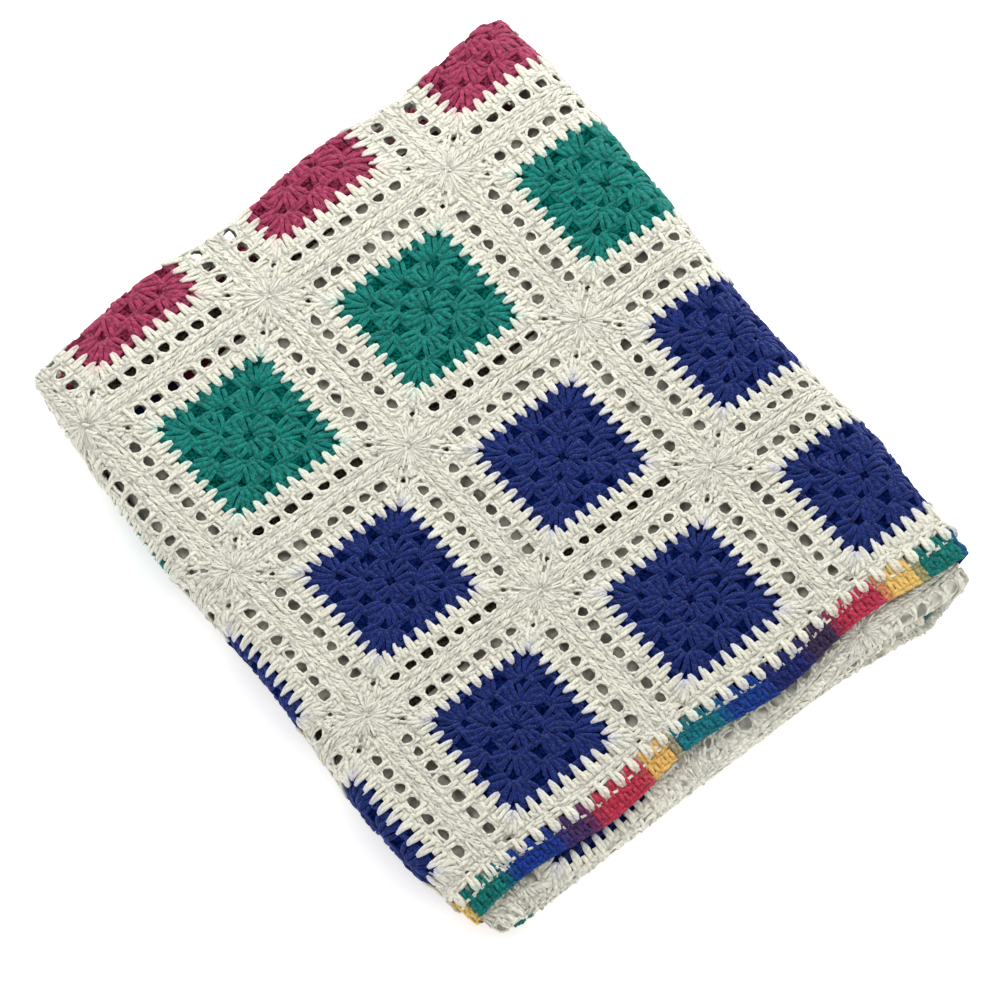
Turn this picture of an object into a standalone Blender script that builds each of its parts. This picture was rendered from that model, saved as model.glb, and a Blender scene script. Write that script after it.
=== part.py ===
"""A granny square blanket, folded in three both ways and lying flat.

The blanket is one crocheted cloth of 9 by 10 squares with a striped edging
worked round it.  It is first folded in three across its rows, which makes a
long slab of three leaves, and that slab is folded in three again along its
columns, which makes a stack of nine layers.

The cloth is described flat: u runs along the columns and v along the rows,
both in metres from the middle square of the leaf that lies on top.  lay()
carries a flat point to its place in the folded stack.  X runs along the
columns, Y towards the far fold, and Z is up.
"""

import math

import bmesh
import bpy
import numpy as np

# ---------------------------------------------------------------- sizes, metres
SQUARE = 0.120              # one square, from seam to seam
COLUMNS_LEFT = 4            # whole columns to each side of the middle one
COLUMNS_RIGHT = 4
ROWS_NEAR = 1               # whole rows on the near side of the middle one
ROWS_FAR = 8                # and on its far side
RIM = 0.55 * SQUARE         # an edge square's middle to the edging's outer edge
EDGING_WIDTH = 0.012
PARTING = 0.0003            # clear gap between the cloth and its edging
CLOTH = 0.0040              # thickness of the crochet
EDGING = 0.0034             # thickness of the edging, a little less
LAYER = 0.0050              # from the middle of one layer to the next

# Folds of the stack.  The slab is three layers thick.  It turns under itself
# at the left, and at the right it goes round the leaf that was turned under.
LEFT_TURN = 3.0 * LAYER     # outer radius
RIGHT_TURN = 4.5 * LAYER
STACK = 9.0 * LAYER
LEFT_EDGE = -1.74 * SQUARE  # outer edge of the left turn at the middle row
LEFT_SKEW = 0.066           # how far that turn runs off the columns, per metre
LEFT_BOW = 0.030 / SQUARE   # and how much it bows in towards both ends
RIGHT_EDGE = 1.225 * SQUARE
RIGHT_WAVE = 0.012 * SQUARE # the right turn wavers this much to each side
RIGHT_WAVE_TURN = 2.2 / SQUARE
RIGHT_WAVE_START = 3.4
UNDER_END = 0.97 * SQUARE   # free edge of the leaf turned under, clear of the turn
BOTTOM_END = -1.61 * SQUARE # free edge of the bottom leaf, just under the left turn

# Folds of the slab
FAR_EDGE = 1.985 * SQUARE   # outer edge of the far turn at the middle column
FAR_SKEW = 0.038
NEAR_EDGE = -1.675 * SQUARE
FOLD_TURN = LAYER           # outer radius of both turns
MIDDLE_STRETCH = 1.033      # the middle leaf lies pulled longer than it was worked
MIDDLE_SKEW = 0.0126 / SQUARE   # and more so to the left
MIDDLE_BEND = 0.035         # but less again at the left end
MIDDLE_BEND_REACH = (1.30 * SQUARE, 1.65 * SQUARE)
SCALLOP = 0.020 * SQUARE    # the far turn bulges at each square
SCALLOP_SHIFT = 0.12 * SQUARE
SCALLOP_REACH = (1.50 * SQUARE, 1.85 * SQUARE)

# The lie of the stack: it is thinner at its folds, and uneven
FAR_SINK = 0.17             # share of the height lost at the far fold
FAR_SINK_REACH = (1.50 * SQUARE, 1.95 * SQUARE)
NEAR_SINK = 0.10
NEAR_SINK_REACH = (1.35 * SQUARE, 1.75 * SQUARE)
SWELL = 0.035               # share of the height that the waves add or take
SWELL_WAVES = (             # height, waves per metre along x and y, and start
    (0.5, 9.0, 7.5, 0.5), (0.5, 9.0, -7.5, 1.7), (0.6, 16.0, -11.0, 0.0),
)

# The near side: the deeper layers lie further in than the top one
NEAR_REACH = (0.80 * SQUARE, 1.60 * SQUARE)
NEAR_TILT = 0.030           # how far the near side runs off the rows, per metre
RECEDE = 0.10 * SQUARE      # how far in the lowest layer's near edge lies
RECEDE_REACH = (0.20 * SQUARE, 1.00 * SQUARE)   # but not at the right
CORNER_REACH = (1.20 * SQUARE, 1.60 * SQUARE)   # how far out the near corners begin
TUCK = 0.28 * SQUARE        # the near right corner's middle layers are tucked left
TUCK_DEPTHS = (0.00, 0.64)  # from these shares of the stack's depth
UNTUCK = 0.08 * SQUARE      # and its lowest layers lie back to the right of them
UNTUCK_DEPTHS = (0.70, 1.10)
TUCK_REACH = (0.50 * SQUARE, 1.25 * SQUARE)
LEFT_TUCK = 0.14 * SQUARE   # the near left corner's lowest layer is tucked right
LEFT_TUCK_REACH = (1.20 * SQUARE, 1.70 * SQUARE)
NEAR_SCALLOP = 0.026 * SQUARE   # the top leaf's near edge bulges at each square
NEAR_SCALLOP_SHIFT = 0.06 * SQUARE
NEAR_SCALLOP_DEPTHS = (0.10, 0.35)

# How the cloth lies off its even squares: at a row's y, the shift along x, the
# spread along x and the shift along y, all as shares of a square
DRIFT = (
    (-1.55, 0.008, 0.018, 0.000),
    (-1.00, 0.008, 0.020, 0.044),
    (0.00, 0.018, 0.000, -0.022),
    (1.00, 0.024, 0.042, -0.040),
    (1.71, 0.030, 0.060, -0.022),
)

# Open spaces of the filet round, which runs round each square
HOLE = 0.0062               # across the open space, corner to corner
HOLE_ROUND = 0.42 * SQUARE  # from a square's middle to the row of holes
HOLE_STEP = 0.092 * SQUARE
HOLES_A_SIDE = 7
CUTTER_PROUD = 0.0015       # how far the cutting plugs stand out of the cloth
CUTTER_DEEP = 0.45 * (LAYER - CLOTH)

WHITE_WOOL = (0.83, 0.80, 0.71, 1.0)
TEAL_WOOL = (0.02, 0.20, 0.22, 1.0)

# Each run of the cloth along its columns, and along its rows: its name, and
# the number of equal steps in it.  A leaf has None: its steps end at levels
# that all the leaves share, so that their facets lie parallel.
COLUMN_RUNS = (
    ("edging", 1), ("parting", 1), ("leaf turned under", None), ("left turn", 7),
    ("top leaf", None), ("right turn", 8), ("bottom leaf", None),
    ("parting", 1), ("edging", 1),
)
ROW_RUNS = (
    ("edging", 1), ("parting", 1), ("top leaf", None), ("far turn", 4),
    ("middle leaf", None), ("near turn", 4), ("inner leaf", None),
    ("parting", 1), ("edging", 1),
)
# The levels, in squares from the middle one, pass between the holes
X_LEVELS = (-0.954, -0.5, 0.046, 0.5)
Y_LEVELS = (-1.45, -0.954, -0.5, 0.046, 0.5, 1.046, 1.5, 1.66)
LEVEL_MARGIN = 0.1          # a level this near a leaf's end is left out


def smooth_step(value, start, end):
    """0 before start, 1 past end, and a smooth S between them."""
    share = np.clip((value - start) / (end - start), 0.0, 1.0)
    return share * share * (3.0 - 2.0 * share)


# ------------------------------------------------------------------- the folds
def far_centre(x):
    """Middle line of the far turn, which runs slightly askew."""
    return FAR_EDGE + FAR_SKEW * x - FOLD_TURN


def near_centre(x):
    """Middle line of the near turn."""
    return np.full_like(x, NEAR_EDGE + FOLD_TURN)


def middle_stretch(x):
    """How much longer the middle leaf lies than it was worked."""
    bend = MIDDLE_BEND * smooth_step(-x, *MIDDLE_BEND_REACH)
    return MIDDLE_STRETCH - MIDDLE_SKEW * x - bend


def left_centre(y):
    """Middle line of the left turn, which is askew and slightly bowed."""
    return LEFT_EDGE + LEFT_SKEW * y + LEFT_BOW * y * y + LEFT_TURN


def right_centre(y):
    """Middle line of the right turn, which wavers a little."""
    wave = RIGHT_WAVE * np.cos(RIGHT_WAVE_TURN * y + RIGHT_WAVE_START)
    return RIGHT_EDGE + wave - RIGHT_TURN


def row_bounds(x):
    """The v at which each run along the rows starts, and the last one ends."""
    arc = math.pi * LAYER / 2
    start = np.full_like(x, -ROWS_NEAR * SQUARE - RIM)
    end = np.full_like(x, ROWS_FAR * SQUARE + RIM)
    far = far_centre(x)
    near_start = far + arc + (far - near_centre(x)) / middle_stretch(x)
    return np.stack([
        start, start + EDGING_WIDTH, start + EDGING_WIDTH + PARTING,
        far, far + arc, near_start, near_start + arc,
        end - EDGING_WIDTH - PARTING, end - EDGING_WIDTH, end,
    ])


def column_bounds(y):
    """The u at which each run along the columns starts, and the last ends."""
    start = np.full_like(y, -COLUMNS_LEFT * SQUARE - RIM)
    end = np.full_like(y, COLUMNS_RIGHT * SQUARE + RIM)
    left = left_centre(y)
    right = right_centre(y)
    return np.stack([
        start, start + EDGING_WIDTH, start + EDGING_WIDTH + PARTING,
        left - math.pi * (LEFT_TURN - LAYER / 2), left,
        right, right + math.pi * (RIGHT_TURN - LAYER / 2),
        end - EDGING_WIDTH - PARTING, end - EDGING_WIDTH, end,
    ])


def fold_rows(v, lift, x):
    """First fold: a flat v becomes y and a depth below the slab's outside.

    lift is the height over the cloth's own middle surface.  The top leaf has
    y = v.  Each turn is half a circle of half a layer's radius, and the
    middle and inner leaves run back and forth from it.
    """
    bounds = row_bounds(x)
    far, far_end, near_start, near_end = bounds[3], bounds[4], bounds[5], bounds[6]
    radius = LAYER / 2
    near = near_centre(x)
    far_angle = np.clip((v - far) / radius, 0.0, math.pi)
    near_angle = np.clip((v - near_start) / radius, 0.0, math.pi)
    y = np.where(v < far, v, far)
    y = y + (radius + lift) * np.sin(far_angle)
    depth = LAYER - (radius + lift) * np.cos(far_angle)
    back = v >= far_end
    y = np.where(back, far - (v - far_end) * middle_stretch(x), y)
    depth = np.where(back, 1.5 * LAYER + lift, depth)
    turning = v >= near_start
    y = np.where(turning, near - (radius - lift) * np.sin(near_angle), y)
    depth = np.where(turning, 2 * LAYER - (radius - lift) * np.cos(near_angle), depth)
    forth = v >= near_end
    y = np.where(forth, near + (v - near_end), y)
    depth = np.where(forth, 2.5 * LAYER - lift, depth)
    return y, depth


def fold_columns(u, depth, y):
    """Second fold: a flat u and a depth in the slab become x and z.

    The slab lies outside up on top, goes round two half circles whose radius
    shrinks with depth, and lies outside down in the two leaves beneath, which
    are packed a little so that their free edges stay within the stack.
    """
    bounds = column_bounds(y)
    under_end, left, right, bottom_start = bounds[3], bounds[4], bounds[5], bounds[6]
    left_angle = np.clip((left - u) / (LEFT_TURN - LAYER / 2), 0.0, math.pi)
    right_angle = np.clip((u - right) / (RIGHT_TURN - LAYER / 2), 0.0, math.pi)
    x = np.clip(u, left, right)
    x = x - (LEFT_TURN - depth) * np.sin(left_angle)
    x = x + (RIGHT_TURN - depth) * np.sin(right_angle)
    z = STACK - depth
    z = np.where(u < left, STACK - LEFT_TURN + (LEFT_TURN - depth) * np.cos(left_angle), z)
    z = np.where(u > right, STACK - RIGHT_TURN + (RIGHT_TURN - depth) * np.cos(right_angle), z)
    under_pack = (UNDER_END - left) / (under_end - bounds[0])
    bottom_end = BOTTOM_END + left - LEFT_TURN - LEFT_EDGE
    bottom_pack = (right - bottom_end) / (bounds[9] - bottom_start)
    x = np.where(u < under_end, left + under_pack * (under_end - u), x)
    x = np.where(u > bottom_start, right - bottom_pack * (u - bottom_start), x)
    return x, z


def drift(x, y):
    """Where the uneven squares lie, from the table's rows joined smoothly."""
    shifts = [np.zeros_like(y) + value for value in DRIFT[0][1:]]
    for before, after in zip(DRIFT, DRIFT[1:]):
        share = smooth_step(y, before[0] * SQUARE, after[0] * SQUARE)
        for index in range(3):
            shifts[index] = shifts[index] + (after[index + 1] - before[index + 1]) * share
    return x + shifts[0] * SQUARE + shifts[1] * x, y + shifts[2] * SQUARE


def settle(x, y, z):
    """The uneven lie of the whole stack, the same for every layer of it.

    The height is scaled by gentle waves and sinks towards both folded edges.
    The far edge bulges at each square, and so does the top leaf's near edge.
    The deeper layers of the near side and its corners lie further in.
    """
    waves = 0.0
    for height, along_x, along_y, start in SWELL_WAVES:
        waves = waves + height * np.sin(along_x * x + along_y * y + start)
    sink = FAR_SINK * smooth_step(y, *FAR_SINK_REACH)
    sink = sink + NEAR_SINK * smooth_step(-y, *NEAR_SINK_REACH)
    bulge = SCALLOP * np.cos(2 * math.pi * (x - SCALLOP_SHIFT) / SQUARE)
    y = y + bulge * smooth_step(y, *SCALLOP_REACH)
    near_share = smooth_step(-y, *NEAR_REACH)
    deep = 1.0 - z / STACK
    corner_share = smooth_step(-y, *CORNER_REACH)
    wave = NEAR_SCALLOP * np.cos(2 * math.pi * (x - NEAR_SCALLOP_SHIFT) / SQUARE)
    shallow = 1.0 - smooth_step(deep, *NEAR_SCALLOP_DEPTHS)
    y = y - (wave - NEAR_SCALLOP / 2) * corner_share * shallow
    tuck = TUCK * smooth_step(deep, *TUCK_DEPTHS) - UNTUCK * smooth_step(deep, *UNTUCK_DEPTHS)
    right_tuck = tuck * smooth_step(x, *TUCK_REACH)
    left_tuck = LEFT_TUCK * deep * smooth_step(-x, *LEFT_TUCK_REACH)
    x = x + left_tuck * corner_share - right_tuck * near_share
    recede = RECEDE * deep * (1.0 - smooth_step(x, *RECEDE_REACH))
    y = y + (NEAR_TILT * x + recede) * near_share
    x, y = drift(x, y)
    return x, y, z * (1.0 + SWELL * waves - sink)


def lay(u, v, lift):
    """Flat place (u, v) and lift over the cloth's middle to a folded place."""
    nominal_x, _ = fold_columns(u, 0.5 * LAYER, np.zeros_like(u))
    y, depth = fold_rows(v, lift, nominal_x)
    x, z = fold_columns(u, depth, y)
    return np.stack(settle(x, y, z), axis=-1)


# ------------------------------------------------------------------ the solids
def run_stations(bounds, places, runs, levels):
    """Flat stations along one direction, and the run that each step is in.

    bounds holds the flat start of each run and places its folded place.  A
    turn is cut into equal steps.  A leaf is cut where it crosses a level.
    """
    stations, names = [], []
    for index, (name, steps) in enumerate(runs):
        first, last = places[index], places[index + 1]
        if steps is None:
            low, high = sorted((first.mean() / SQUARE, last.mean() / SQUARE))
            inside = [level for level in levels
                      if low + LEVEL_MARGIN < level < high - LEVEL_MARGIN]
            if last.mean() < first.mean():
                inside.reverse()
            shares = [0.0] + [(level * SQUARE - first) / (last - first) for level in inside]
        else:
            shares = [step / steps for step in range(steps)]
        stations += [bounds[index] + (bounds[index + 1] - bounds[index]) * share
                     for share in shares]
        names += [name] * len(shares)
    stations.append(bounds[-1])
    return np.array(stations), np.array(names)


def column_stations(y):
    """Flat u of the stations across columns that lie at y."""
    bounds = column_bounds(y)
    places, _ = fold_columns(bounds, 0.5 * LAYER, y)
    return run_stations(bounds, places, COLUMN_RUNS, X_LEVELS)


def row_stations(x):
    """Flat v of the stations across rows that lie at x."""
    bounds = row_bounds(x)
    places, _ = fold_rows(bounds, 0.0, x)
    return run_stations(bounds, places, ROW_RUNS, Y_LEVELS)


def cloth_stations():
    """Flat u and v of every station, which follow the folds' skew."""
    u_middle, column_names = column_stations(np.zeros(1))
    x_middle, _ = fold_columns(u_middle[:, 0], 0.5 * LAYER, np.zeros(len(u_middle)))
    v, row_names = row_stations(x_middle)
    v = v.T
    y, _ = fold_rows(v, 0.0, x_middle[:, None])
    u = np.empty_like(v)
    for row in range(v.shape[1]):
        u[:, row] = np.diagonal(column_stations(y[:, row])[0])
    return u, v, column_names, row_names


def shell(name, u, v, mask, thickness, colour):
    """A closed solid of the cloth cells in mask: two skins, and walls between.

    Each cell is a four-sided patch of the flat cloth.  A wall stands wherever
    a cell of the mask has no neighbour in it.
    """
    skins = [lay(u, v, side * thickness / 2) for side in (1.0, -1.0)]
    columns, rows = u.shape
    mesh = bmesh.new()
    made = {}

    def vertex(side, i, j):
        if (side, i, j) not in made:
            made[side, i, j] = mesh.verts.new(skins[side][i, j])
        return made[side, i, j]

    def filled(i, j):
        return 0 <= i < columns - 1 and 0 <= j < rows - 1 and mask[i, j]

    for i in range(columns - 1):
        for j in range(rows - 1):
            if not mask[i, j]:
                continue
            ring = [(i, j), (i + 1, j), (i + 1, j + 1), (i, j + 1)]
            mesh.faces.new([vertex(0, *corner) for corner in ring])
            mesh.faces.new([vertex(1, *corner) for corner in reversed(ring)])
            neighbours = [(i, j - 1), (i + 1, j), (i, j + 1), (i - 1, j)]
            for side, neighbour in enumerate(neighbours):
                if not filled(*neighbour):
                    a, b = ring[side], ring[(side + 1) % 4]
                    mesh.faces.new([vertex(0, *b), vertex(0, *a), vertex(1, *a), vertex(1, *b)])
    bmesh.ops.triangulate(mesh, faces=mesh.faces[:])
    bmesh.ops.recalc_face_normals(mesh, faces=mesh.faces[:])
    return add_object(name, mesh, colour)


def add_object(name, mesh, colour):
    """Turn a bmesh into a named object with its own wool."""
    data = bpy.data.meshes.new(name)
    mesh.to_mesh(data)
    mesh.free()
    wool = bpy.data.materials.new(name + "_wool")
    wool.use_nodes = True
    shader = wool.node_tree.nodes["Principled BSDF"]
    shader.inputs["Base Color"].default_value = colour
    shader.inputs["Roughness"].default_value = 0.9
    shader.inputs["Metallic"].default_value = 0.0
    data.materials.append(wool)
    piece = bpy.data.objects.new(name, data)
    bpy.context.scene.collection.objects.link(piece)
    return piece


def hole_places():
    """Flat middles of the filet holes on the top leaf.

    Every square has seven along each side.  The nine squares that show whole
    have all of theirs, and the far row has those before the far fold.
    """
    places = []
    half = HOLES_A_SIDE // 2
    for column in (-1, 0, 1):
        for row in (-1, 0, 1, 2):
            for step in range(-half, half + 1):
                for side in (-1, 1):
                    places.append((column * SQUARE + side * HOLE_ROUND,
                                   row * SQUARE + step * HOLE_STEP))
                    places.append((column * SQUARE + step * HOLE_STEP,
                                   row * SQUARE + side * HOLE_ROUND))
    far_limit = FAR_EDGE - 2.2 * FOLD_TURN
    return [(u, v) for u, v in places if v < far_limit - 0.5 * HOLE]


def hole_cutter():
    """Four-sided plugs through the top layer, standing square to the cloth."""
    mesh = bmesh.new()
    outside = CLOTH / 2 + CUTTER_PROUD
    inside = -CLOTH / 2 - CUTTER_DEEP
    reach = HOLE / 2
    for u, v in hole_places():
        corners = np.array([(u - reach, v), (u, v - reach), (u + reach, v), (u, v + reach)])
        ends = []
        for lift in (outside, inside):
            points = lay(corners[:, 0], corners[:, 1], np.full(4, lift))
            ends.append([mesh.verts.new(point) for point in points])
        mesh.faces.new(ends[0])
        mesh.faces.new(list(reversed(ends[1])))
        for k in range(4):
            n = (k + 1) % 4
            mesh.faces.new([ends[0][n], ends[0][k], ends[1][k], ends[1][n]])
    bmesh.ops.recalc_face_normals(mesh, faces=mesh.faces[:])
    cutter = add_object("hole_cutter", mesh, WHITE_WOOL)
    cutter.hide_render = True
    cutter.display_type = "WIRE"
    return cutter


def cut_holes(cloth, cutter):
    """Open the filet holes of the top leaf."""
    cut = cloth.modifiers.new("filet holes", "BOOLEAN")
    cut.operation = "DIFFERENCE"
    cut.solver = "EXACT"
    cut.object = cutter


def stand_at_origin(pieces):
    """Move all the pieces so that the stack stands centred on the origin."""
    points = np.array([v.co for piece in pieces for v in piece.data.vertices])
    low, high = points.min(axis=0), points.max(axis=0)
    shift = ((low[0] + high[0]) / 2, (low[1] + high[1]) / 2, low[2])
    for piece in pieces:
        for vertex in piece.data.vertices:
            vertex.co = [vertex.co[axis] - shift[axis] for axis in range(3)]


def build():
    """The cloth with its holes, and the edging round it."""
    for old in list(bpy.data.objects):
        bpy.data.objects.remove(old, do_unlink=True)
    u, v, column_run, row_run = cloth_stations()
    is_edging = (column_run == "edging")[:, None] | (row_run == "edging")[None, :]
    is_parting = (column_run == "parting")[:, None] | (row_run == "parting")[None, :]
    cloth = shell("blanket", u, v, ~is_edging & ~is_parting, CLOTH, WHITE_WOOL)
    edging = shell("edging", u, v, is_edging, EDGING, TEAL_WOOL)
    cutter = hole_cutter()
    stand_at_origin([cloth, edging, cutter])
    cut_holes(cloth, cutter)


build()
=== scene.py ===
"""The looks of the folded granny square blanket: every stitch that shows.

The cloth is described flat, in u along the columns and v along the rows, and
place() carries a flat point and a lift over the cloth into the folded stack.
Each square is worked round by round as strands of yarn, laid flat, and then
carried into place with its whole column.  A thin ground cloth lies inside the
stitches and closes the leaves that do not show.
"""

import math

import bpy
import numpy as np
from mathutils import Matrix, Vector


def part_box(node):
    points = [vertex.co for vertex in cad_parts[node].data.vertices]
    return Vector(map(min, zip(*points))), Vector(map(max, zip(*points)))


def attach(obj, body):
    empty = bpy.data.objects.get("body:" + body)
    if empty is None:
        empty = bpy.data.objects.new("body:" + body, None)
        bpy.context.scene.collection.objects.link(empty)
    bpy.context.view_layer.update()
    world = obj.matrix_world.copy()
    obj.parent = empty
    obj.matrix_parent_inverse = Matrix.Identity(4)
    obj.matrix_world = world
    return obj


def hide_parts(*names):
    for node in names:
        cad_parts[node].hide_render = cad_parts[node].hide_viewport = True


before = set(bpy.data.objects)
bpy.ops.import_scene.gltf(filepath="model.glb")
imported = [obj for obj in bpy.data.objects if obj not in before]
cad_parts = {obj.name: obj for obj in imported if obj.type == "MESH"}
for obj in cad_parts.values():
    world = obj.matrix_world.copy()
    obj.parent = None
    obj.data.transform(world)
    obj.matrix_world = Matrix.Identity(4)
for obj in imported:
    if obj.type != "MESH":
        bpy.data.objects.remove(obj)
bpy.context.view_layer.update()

# ---------------------------------------------------------------- sizes, metres
SQUARE = 0.120  # one square, from seam to seam
COLUMNS = range(-4, 5)  # both are counted from the top leaf's middle square
ROWS = range(-1, 9)
RIM = 0.55 * SQUARE  # an edge square's middle to the edging's outer edge
EDGING_WIDTH = 0.012
CLOTH = 0.0040  # thickness of the solid model's cloth
SKIN_GRID = (400, 900)  # points along u and v of the grid that finds where it lies
LAYER = 0.0050  # from the middle of one layer to the next
GROUND = 0.0015  # thickness of the ground cloth inside the stitches
FLOOR_GAP = 0.0002  # how far over the floor the undermost stitches lie

# Folds of the stack, as in the solid model.  The slab is three layers thick.  It
# turns under itself at the left, and round the leaf turned under at the right.
LEFT_TURN = 3.0 * LAYER  # outer radius
RIGHT_TURN = 4.5 * LAYER
STACK = 9.0 * LAYER
LEFT_EDGE = -1.74 * SQUARE  # outer edge of the left turn at the middle row
LEFT_SKEW = 0.066  # per metre
LEFT_BOW = 0.030 / SQUARE
RIGHT_EDGE = 1.225 * SQUARE
RIGHT_WAVE = 0.012 * SQUARE
RIGHT_WAVE_TURN = 2.2 / SQUARE
RIGHT_WAVE_START = 3.4
UNDER_END = 0.97 * SQUARE  # free edge of the leaf turned under
BOTTOM_END = -1.61 * SQUARE  # free edge of the bottom leaf

# Folds of the slab
HALF_BACK = 3.7 * SQUARE  # past this v the side that shows is the cloth's other one
FAR_EDGE = 1.985 * SQUARE  # outer edge of the far turn at the middle column
FAR_SKEW = 0.038
NEAR_EDGE = -1.675 * SQUARE
FOLD_TURN = LAYER  # outer radius of both turns
TURN_ARC = math.pi * LAYER / 2  # length of the cloth round each
MIDDLE_STRETCH = 1.033  # the middle leaf lies pulled longer than it was worked
MIDDLE_SKEW = 0.0126 / SQUARE  # and more so to the left
MIDDLE_BEND = 0.035  # but less again at the left end
MIDDLE_BEND_REACH = (1.30 * SQUARE, 1.65 * SQUARE)
SCALLOP = 0.020 * SQUARE  # the far turn bulges at each square
SCALLOP_SHIFT = 0.12 * SQUARE
SCALLOP_REACH = (1.50 * SQUARE, 1.85 * SQUARE)

# The lie of the stack: it is thinner at its folds, and uneven
FAR_SINK = 0.17  # share of the height lost at the far fold
FAR_SINK_REACH = (1.50 * SQUARE, 1.95 * SQUARE)
NEAR_SINK = 0.10
NEAR_SINK_REACH = (1.35 * SQUARE, 1.75 * SQUARE)
SWELL = 0.035  # share of the height that the waves add or take
SWELL_WAVES = (  # height, waves per metre along x and y, and start
    (0.5, 9.0, 7.5, 0.5), (0.5, 9.0, -7.5, 1.7), (0.6, 16.0, -11.0, 0.0),
)

# The near side: the deeper layers lie further in than the top one
NEAR_REACH = (0.80 * SQUARE, 1.60 * SQUARE)
NEAR_TILT = 0.030  # how far the near side runs off the rows, per metre
RECEDE = 0.10 * SQUARE  # how far in the lowest layer's near edge lies
RECEDE_REACH = (0.20 * SQUARE, 1.00 * SQUARE)  # but not at the right
CORNER_REACH = (1.20 * SQUARE, 1.60 * SQUARE)  # how far out the near corners begin
TUCK = 0.28 * SQUARE  # the near right corner's middle layers are tucked left
TUCK_DEPTHS = (0.00, 0.64)  # from these shares of the stack's depth
UNTUCK = 0.08 * SQUARE  # and its lowest layers lie back to the right of them
UNTUCK_DEPTHS = (0.70, 1.10)
TUCK_REACH = (0.50 * SQUARE, 1.25 * SQUARE)
LEFT_TUCK = 0.14 * SQUARE  # the near left corner's lowest layer is tucked right
LEFT_TUCK_REACH = (1.20 * SQUARE, 1.70 * SQUARE)
NEAR_SCALLOP = 0.026 * SQUARE  # the top leaf's near edge bulges at each square
NEAR_SCALLOP_SHIFT = 0.06 * SQUARE
NEAR_SCALLOP_DEPTHS = (0.10, 0.35)

# How the cloth lies off its even squares: at a row's y, the shift along x, the
# spread along x and the shift along y, all as shares of a square
DRIFT = (
    (-1.55, 0.008, 0.018, 0.000),
    (-1.00, 0.008, 0.020, 0.044),
    (0.00, 0.018, 0.000, -0.022),
    (1.00, 0.024, 0.042, -0.040),
    (1.71, 0.030, 0.060, -0.022),
)

# The yarn
YARN = 0.00120  # radius of a strand
FINE_YARN = 0.00095  # radius of the strands drawn tight along the seams
THICK_YARN = 0.00150  # and of those that fill in between the white posts
TUBE_CORNER = 1.15  # a four-sided tube's corners stand this much further out
TWIST = 0.45  # of a half circle, that a post's strands wind round
CENTIMETRE = 0.01  # the yarn's UV map is counted in these
COLUMN_SEED = 1000  # of the random numbers, for the columns and for the edging
SEEDS_A_COLUMN = 50
EDGING_SEED = 77
STITCH_SHAKE = 0.00022  # how far a strand lies off its place, at random
POINT_SHAKE = 0.00012  # and each of its points
EDGE_SHAKE = 0.0002
THICKNESS_RANGE = (0.92, 1.08)  # from strand to strand
TONE_RANGE = (-0.07, 0.07)
UNDERSIDE_SHADE = 0.34  # painted shade: how much of its colour a strand keeps along its underside, where others shade it
BRIGHT = 0.8  # the brightest channel of the light a coloured wool throws back

# The V over each stitch
V_LENGTH = 1.15  # how far its strands run, as a share of its length
V_BEHIND = 0.60  # and how far behind its middle they start
V_CLOSED = 0.25  # share of its spread by which they are parted there
V_ARC = 0.0006  # height of its arc
V_TAPER = 0.85  # share of their thickness at both ends

# The rounds of a square, as shares of its side from its middle
CENTRE_HALF = 0.288  # the coloured centre's three rounds end here
STITCH = 0.0615  # from one double crochet to the next
WHITE_POSTS = (9, STITCH, 0.268, 0.366, 1.06)  # how many, step, base, tip, and the tips' spread
FILET_STEP = 0.092  # from one filet space to the next
FILET_POSTS = (8, FILET_STEP, 0.366, 0.450, 1.01)
FILET_HOLE = (0.388, 0.444)  # near and far side of the filet spaces
FILET_HALF = 0.033  # and half their width
FILET_SPACES = 7  # a side
CORNER_HOLE = (0.364, 0.386)  # and of the small space at each corner
CORNER_CLEAR = 0.33  # no V lies over a stitch further out along its side
ROUND_V = 1.15 * STITCH  # length of the V's over a round
CHAIN_HALF = 0.0009  # metres from a corner chain's middle to each of its strands
CENTRE_CHAINS = (  # at the corners of the coloured rounds: ends, and middle
    ((0.050, 0.108), 0.094), ((0.146, 0.200), 0.190), ((0.250, 0.288), 0.287),
)
WHITE_CHAIN = ((0.396, 0.455), 0.440)
FILLS = (10, 1.03 * STITCH, 0.322, 0.362)  # strands between the white posts, the same way
BUMPS = (11, 1 / 11, 0.388, 0.466)  # over the raw edge
SEAM_STEP = 0.0575  # from one single crochet to the next
SEAM_STITCHES = 17
SLANT = (0.022, 0.4900, 0.5100)  # seam stitches: half their slant, and from where to where
RAYS = 10  # that fan out from a corner,
RAY_ANGLES = (4.0, 86.0)  # between these angles,
RAY_START = 0.022  # from here on, and to these places in turn
RAY_ENDS = (0.120, 0.098)
SPACE_FRAME = ((0.0050,), (0.0044,))  # half sizes in metres of the strand round a space
SPACE_RANGE = (0.76, 1.10)  # shares of them, at random
SPACE_FLARE = -0.35
SLITS = ((0.372, 0.372), (0.455, 0.455))  # at the corners, with a strand round each
SLIT_FRAME = ((0.0048, 0.0034), (0.0024, 0.0018))
KNOTS = ((0.338, 0.412), (0.378, 0.420))  # small rings that fill the filet's ends
KNOT = 0.0017
ROUND_LIFT = 0.0003  # of the V's and small rings over a round, in metres
LOW_LIFT = 0.0002  # of the strands that lie in the cloth
SPACE_LIFT = 0.0005
SLIT_LIFT = 0.0006
SEAM_LIFT = 0.0010
RAY_LIFT = 0.0011
RAY_YARN = 0.85 * FINE_YARN

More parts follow.
